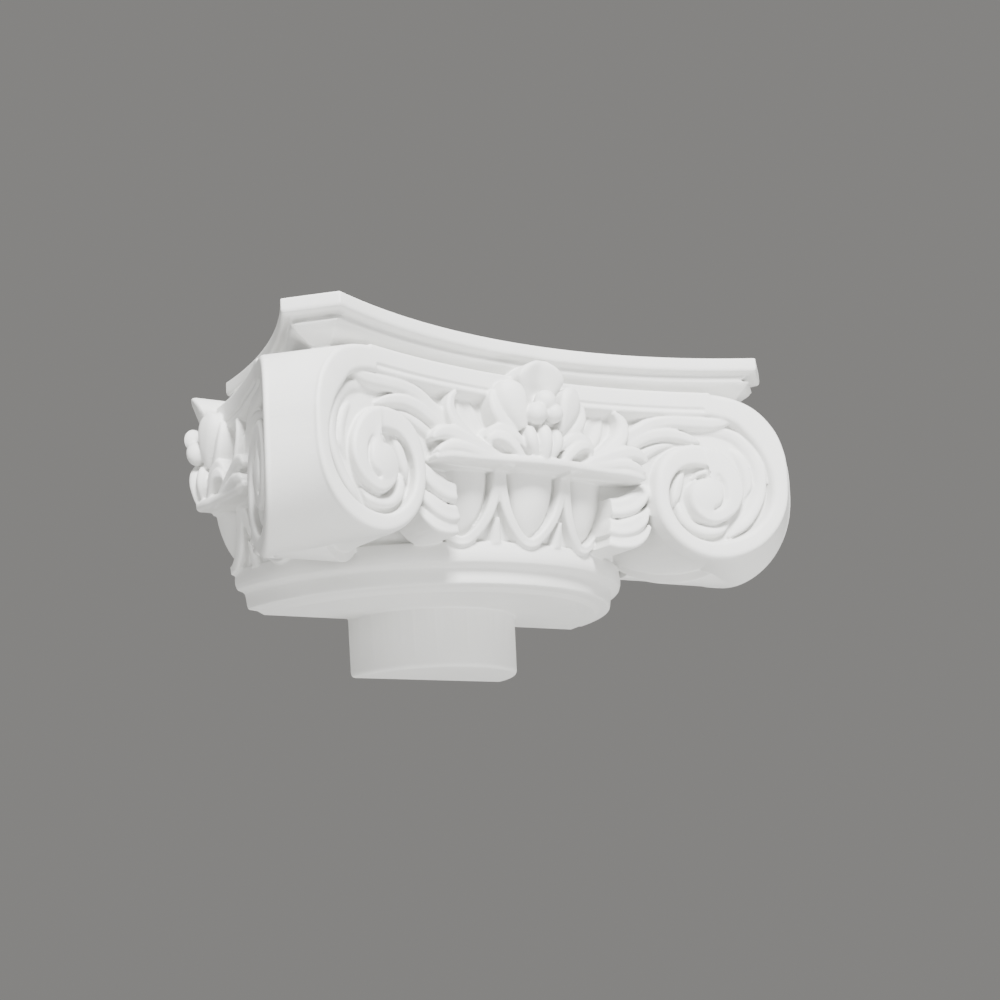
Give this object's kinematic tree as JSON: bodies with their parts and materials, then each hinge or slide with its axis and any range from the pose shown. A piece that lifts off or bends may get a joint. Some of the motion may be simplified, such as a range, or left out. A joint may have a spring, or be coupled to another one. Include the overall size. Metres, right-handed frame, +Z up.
{
  "type": "ionic half-column capital",
  "caption": "Angular Ionic capital for a half column on a wall: corner volutes, egg and dart, a flower on the abacus, with a flat back and a round spigot below.",
  "frame": {"origin": "on the flat back, below the middle of the front, at the level of the shaft's top; the round neck's axis lies 13 mm behind it", "axes": "+Z up, +X along the wall to the right, the front looks along -Y and the wall is behind, at +Y"},
  "size_m": [0.404, 0.1885, 0.1984],
  "materials": {
    "primed_foam": "rigid polyurethane foam with a white primer coat, matt"
  },
  "bodies": {
    "root": {"capital": "primed_foam"}
  },
  "joints": []
}
